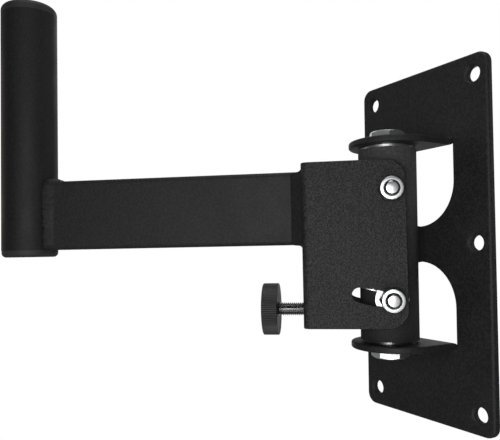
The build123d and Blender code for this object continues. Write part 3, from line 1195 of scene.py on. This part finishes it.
@dataclass
class TiltBracket(Assembly):
    """The folded bracket with the arm and the pole.

    Attributes:
        arm_corner: Radius of the arm's rounded corners, in millimetres.
        fillet_reach: Length of the weld at the bracket along the arm.
        fillet_rise: Height of that weld on the bracket's web, at the arm's sides.
        fillet_lip: The same above and below the arm.
        fillet_drop: How far that weld sits below the arm's middle.
        web: Thickness of the web, in which the weld is rooted.
        side_bead: Half the width, height and shift along the arm of the pole's weld, at the arm's sides.
        top_bead: The same at the arm's top.
        spacing: Distance from drop to drop in that weld.
        seed: Start of its drops' small differences.
    """

    arm_corner: float = 3.0
    fillet_reach: float = 7.0
    fillet_rise: float = 4.4
    fillet_lip: float = 1.8
    fillet_drop: float = 0.5
    web: float = 1.8
    side_bead: Triple = (5.2, 0.72, 4.8)
    top_bead: Triple = (3.6, 2.2, 3.0)
    spacing: float = 1.3
    seed: int = 8

    def build(self) -> None:
        """Dresses the bracket, the arm and the pole, and lays the beads of weld."""
        dress("tilt_bracket", self.palette.sand_coat)
        dress("weld_nut", self.palette.bright_zinc)
        for node in ("arm", "bracket_weld", "pole_weld"):
            dress(node, self.palette.arm_coat_painted_shade)
        dress("pole", self.palette.pole_coat_painted_shade)
        for node in ("pole_cap", "pole_foot"):
            dress(node, self.palette.moulded)
        self.pole_bead()
        self.bracket_fillet()

    def span(self, node: str, axis: Vector) -> tuple[float, float]:
        """Gives a node's lowest and highest distance from the pivot along an axis, in millimetres."""
        return NodeRuler(node, self.axes.pivot).span(axis)

    def outline(self) -> list[Vector]:
        """Walks up the arm's near side, over its top and down its far side.

        Returns:
            Distance across the arm and height of each step, in millimetres from the pivot.
        """
        left, right = self.span("arm", self.axes.side)
        foot, top = self.span("arm", self.axes.up)
        inset = self.arm_corner
        walk = [Vector((right, foot + inset))]
        for across, turn in ((right - inset, 0), (left + inset, 90)):
            for step in range(0, 91, 10):
                angle = radians(turn + step)
                walk.append(Vector((across, top - inset)) + Vector((cos(angle), sin(angle))) * inset)
        walk.append(Vector((left, foot + inset)))
        return evenly(walk, self.spacing)

    def pole_bead(self) -> Piece:
        """Lays the low bead of weld on the seam between the arm and the pole.

        Returns:
            The bead.
        """
        lean = 0.4
        near, far = self.span("pole_foot", self.axes.out)
        left, right = self.span("pole", self.axes.side)
        middle = (near + far) / 2
        radius = (right - left) / 2
        walk = self.outline()
        drops = []
        for before, here, after in zip(walk, walk[1:], walk[2:]):
            step = (after - before).normalized()
            from_arm = self.axes.side * step.y - self.axes.up * step.x
            depth = sqrt(radius**2 - here.x**2)
            from_pole = (self.axes.side * here.x - self.axes.out * depth) / radius
            width, height, shift = (
                at_side + (at_top - at_side) * max(0.0, -step.x)
                for at_side, at_top in zip(self.side_bead, self.top_bead)
            )
            place = self.axes.point(here.x, middle - depth - shift, here.y)
            drops.append(Drop(place, from_arm + from_pole * lean, width, height))
        bead = Bench.bead("pole_weld_bead", drops, self.seed)
        Bench.settle(bead, Matrix.Identity(4), Bench.MELTED)
        return fit(bead, self.palette.weld_coat, Body.BRACKET, ("pole_weld",))

    def bracket_fillet(self) -> Piece:
        """Lays the flat fillet of weld round the arm's end at the bracket.

        Returns:
            The fillet.
        """
        start, _ = self.span("arm", self.axes.out)
        left, right = self.span("arm", self.axes.side)
        foot, top = self.span("arm", self.axes.up)
        wide, tall = right - left, top - foot
        reach = self.fillet_reach
        # Shares of the rise and of the lip, and the place along the arm, from the root in the web outward
        shares = ((1.25, 1.25, -self.web), (1.0, 1.0, 0.0), (0.82, 0.05, reach * 0.18))
        rings = [
            (wide + 2 * self.fillet_rise * rise, tall + 2 * self.fillet_lip * lip, along)
            for rise, lip, along in shares
        ]
        under_side, under_top = 0.2, 0.8
        rings.append((wide - under_side, tall - under_top, reach))
        fillet = Bench.collar("bracket_weld_fillet", rings)
        turn = Matrix((-self.axes.side, self.axes.up, self.axes.out)).transposed().to_4x4()
        middle = self.axes.point(0, start, (foot + top) / 2 - self.fillet_drop)
        Bench.settle(fillet, Matrix.Translation(middle) @ turn, Bench.MELTED)
        return fit(fillet, self.palette.arm_coat_painted_shade, Body.BRACKET, ("bracket_weld",))


@dataclass
class ThumbScrew(Assembly):
    """The threaded stud and its fluted knob.

    Attributes:
        diameter: The thread's outer diameter, in millimetres.
        pitch: The thread's pitch.
    """

    diameter: float = 8.0
    pitch: float = 1.25

    def build(self) -> None:
        """Makes the stud's real thread and dresses the knob."""
        dress("thumb_stud", self.palette.black_steel)
        dress("thumb_knob", self.palette.satin)
        self.stud()

    def stud(self) -> Piece:
        """Makes the threaded stud with a turned point.

        Returns:
            The stud, riding on its own body.
        """
        ruler = NodeRuler("thumb_stud", self.axes.screw)
        start, end = ruler.span(self.axes.out)
        point, bevel, lap, undercut = 1.6, 0.6, 0.4, 0.7
        rod = Bench.thread("threaded_stud", self.diameter, self.pitch, end - start - point)
        core = self.diameter / 2 - undercut * self.pitch
        profile = [(0, -point), (core - bevel, -point), (core, bevel - point), (core, lap), (0, lap)]
        tip = Bench.lathe("stud_point", profile, steps=48)
        stud = Bench.join("threaded_stud", (rod, tip))
        Bench.settle(stud, ruler.stand(self.axes.out, start + point))
        return fit(stud, self.palette.black_steel, Body.STUD, ("thumb_stud",))


@dataclass
class Studio:
    """Camera, lamps, floor and backdrop.

    Attributes:
        eye: The camera's place, in millimetres.
        look: The camera's viewing direction.
        right: The direction of the picture's width.
        focal: Focal length, in pixels of a picture 500 wide.
        centre: The lens axis' place in the picture, in pixels of a picture 500 x 440.
        aim: The point that the lamps are turned to, in metres.
        paint: Brightness of the floor and the backdrop under the lamps.
        room: Brightness of the room.
    """

    eye: Triple = (259.94, -274.52, -4.6)
    look: Triple = (-0.86771, 0.49581, 0.03536)
    right: Triple = (0.49582, 0.86838, -0.00897)
    focal: float = 581.541
    centre: tuple[float, float] = (249.225, 232.487)
    aim: Vector = field(default_factory=lambda: Vector((-0.02, -0.06, 0.02)))
    paint: float = 0.8
    room: float = 0.09

    def camera(self) -> None:
        """Sets up the photograph's camera."""
        width, height, sensor = 500, 440, 36.0
        lens = bpy.data.cameras.new("photo_camera")
        lens.sensor_fit = "HORIZONTAL"
        lens.sensor_width = sensor
        lens.lens = self.focal * sensor / width
        lens.shift_x = (width / 2 - self.centre[0]) / width
        lens.shift_y = (self.centre[1] - height / 2) / width
        lens.clip_start, lens.clip_end = 0.01, 20.0
        camera = bpy.data.objects.new("photo_camera", lens)
        bpy.context.scene.collection.objects.link(camera)
        look = Vector(self.look).normalized()
        right = Vector(self.right).normalized()
        turn = Matrix((right, right.cross(look), -look)).transposed()
        camera.matrix_world = Matrix.Translation(Vector(self.eye) * MM) @ turn.to_4x4()
        bpy.context.scene.camera = camera

    def lamp(
        self, name: str, azimuth: float, elevation: float, distance: float, size: float, power: float
    ) -> None:
        """Adds a soft square lamp that is turned to the part.

        Args:
            name: The lamp's name.
            azimuth: Direction round the part from +X, in degrees.
            elevation: Height above the horizon, in degrees.
            distance: Distance from the part, in metres.
            size: Side of the lamp, in metres.
            power: Power in watts.
        """
        data = bpy.data.lights.new(name, "AREA")
        data.shape = "SQUARE"
        data.size = size
        data.energy = power
        lamp = bpy.data.objects.new(name, data)
        bpy.context.scene.collection.objects.link(lamp)
        turn, rise = radians(azimuth), radians(elevation)
        towards = Vector((cos(turn) * cos(rise), sin(turn) * cos(rise), sin(rise)))
        lamp.location = self.aim + towards * distance
        lamp.rotation_mode = "QUATERNION"
        lamp.rotation_quaternion = (-towards).to_track_quat("-Z", "Y")

    def white(self, name: str, glow: bool) -> Material:
        """Makes the stage's white.

        Args:
            name: The material's name.
            glow: Whether the camera and mirrors see it as plain white.

        Returns:
            The material.
        """
        finish = Finish(name)
        graph = finish.graph
        finish.set(Base_Color=grey(self.paint), Roughness=0.9)
        if glow:
            path = graph.add("LightPath").outputs
            seen = graph.math("MAXIMUM", path["Is Camera Ray"], path["Is Glossy Ray"])
            seen = graph.math("MAXIMUM", seen, path["Is Transmission Ray"])
            light = graph.add("Emission", {"Color": grey(1.0), "Strength": 1.0})
            blend = graph.add("MixShader", {0: seen, 1: finish.shader.outputs[0], 2: light.outputs[0]})
            leave = next(n for n in finish.material.node_tree.nodes if n.type == "OUTPUT_MATERIAL")
            graph.feed(leave.inputs["Surface"], blend.outputs[0])
        return finish.material

    def panel(self, name: str, size: float, material: Material) -> Piece:
        """Lays a square panel at the origin, facing up.

        Args:
            name: The panel's name.
            size: Its side, in metres.
            material: Its material.

        Returns:
            The panel.
        """
        grid = bpy.ops.mesh.primitive_grid_add
        panel = Bench.add(name, grid, x_subdivisions=4, y_subdivisions=4, size=size)
        panel.data.materials.append(material)
        return panel

    def stage(self) -> None:
        """Builds the floor and the backdrop."""
        drop, distance, rise = -1.1, 1.3, 0.1
        floor = self.panel("studio_floor", 6.0, self.white("floor_white", glow=False))
        floor.location = (0, 0, drop)
        backdrop = self.panel("studio_backdrop", 1.8, self.white("backdrop_white", glow=True))
        look = Vector((self.look[0], self.look[1], 0)).normalized()
        backdrop.rotation_mode = "QUATERNION"
        backdrop.rotation_quaternion = (-look).to_track_quat("Z", "Y")
        backdrop.location = look * distance + Vector((0, 0, rise))
        bpy.ops.object.transform_apply()

    def world(self) -> None:
        """Gives the room a dim grey light."""
        world = bpy.data.worlds.new("studio_room")
        bpy.context.scene.world = world
        world.use_nodes = True
        back = next(n for n in world.node_tree.nodes if n.type == "BACKGROUND")
        back.inputs["Color"].default_value = grey(self.room)

    def build(self) -> None:
        """Sets up the whole studio."""
        bpy.context.scene.view_settings.view_transform = "Standard"
        self.camera()
        self.stage()
        self.world()
        # Name, azimuth, elevation, distance, size and power of each lamp
        lamps = (
            ("front_lamp", -45, -5, 0.45, 0.2, 1.0),
            ("low_lamp", -40, -40, 1.0, 0.6, 2.2),
            ("rim_lamp", -150, 10, 1.2, 0.6, 1.2),
            ("right_lamp", 75, 15, 1.2, 0.6, 2.0),
            ("top_lamp", -40, 80, 1.0, 0.5, 3.4),
            ("rear_lamp", 150, 42, 1.2, 0.8, 2.0),
        )
        for lamp in lamps:
            self.lamp(*lamp)
        log.info("studio is set")


def main() -> None:
    """Builds the studio and each sub-assembly in order."""
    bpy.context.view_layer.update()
    axes = ArmAxes.from_joints(frame["joints"])
    palette = Palette(axes)
    Studio().build()
    for assembly in (WallPlate, SwivelPost, TiltBracket, ThumbScrew):
        assembly(palette, axes).build()
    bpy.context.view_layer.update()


if __name__ == "__main__":
    main()
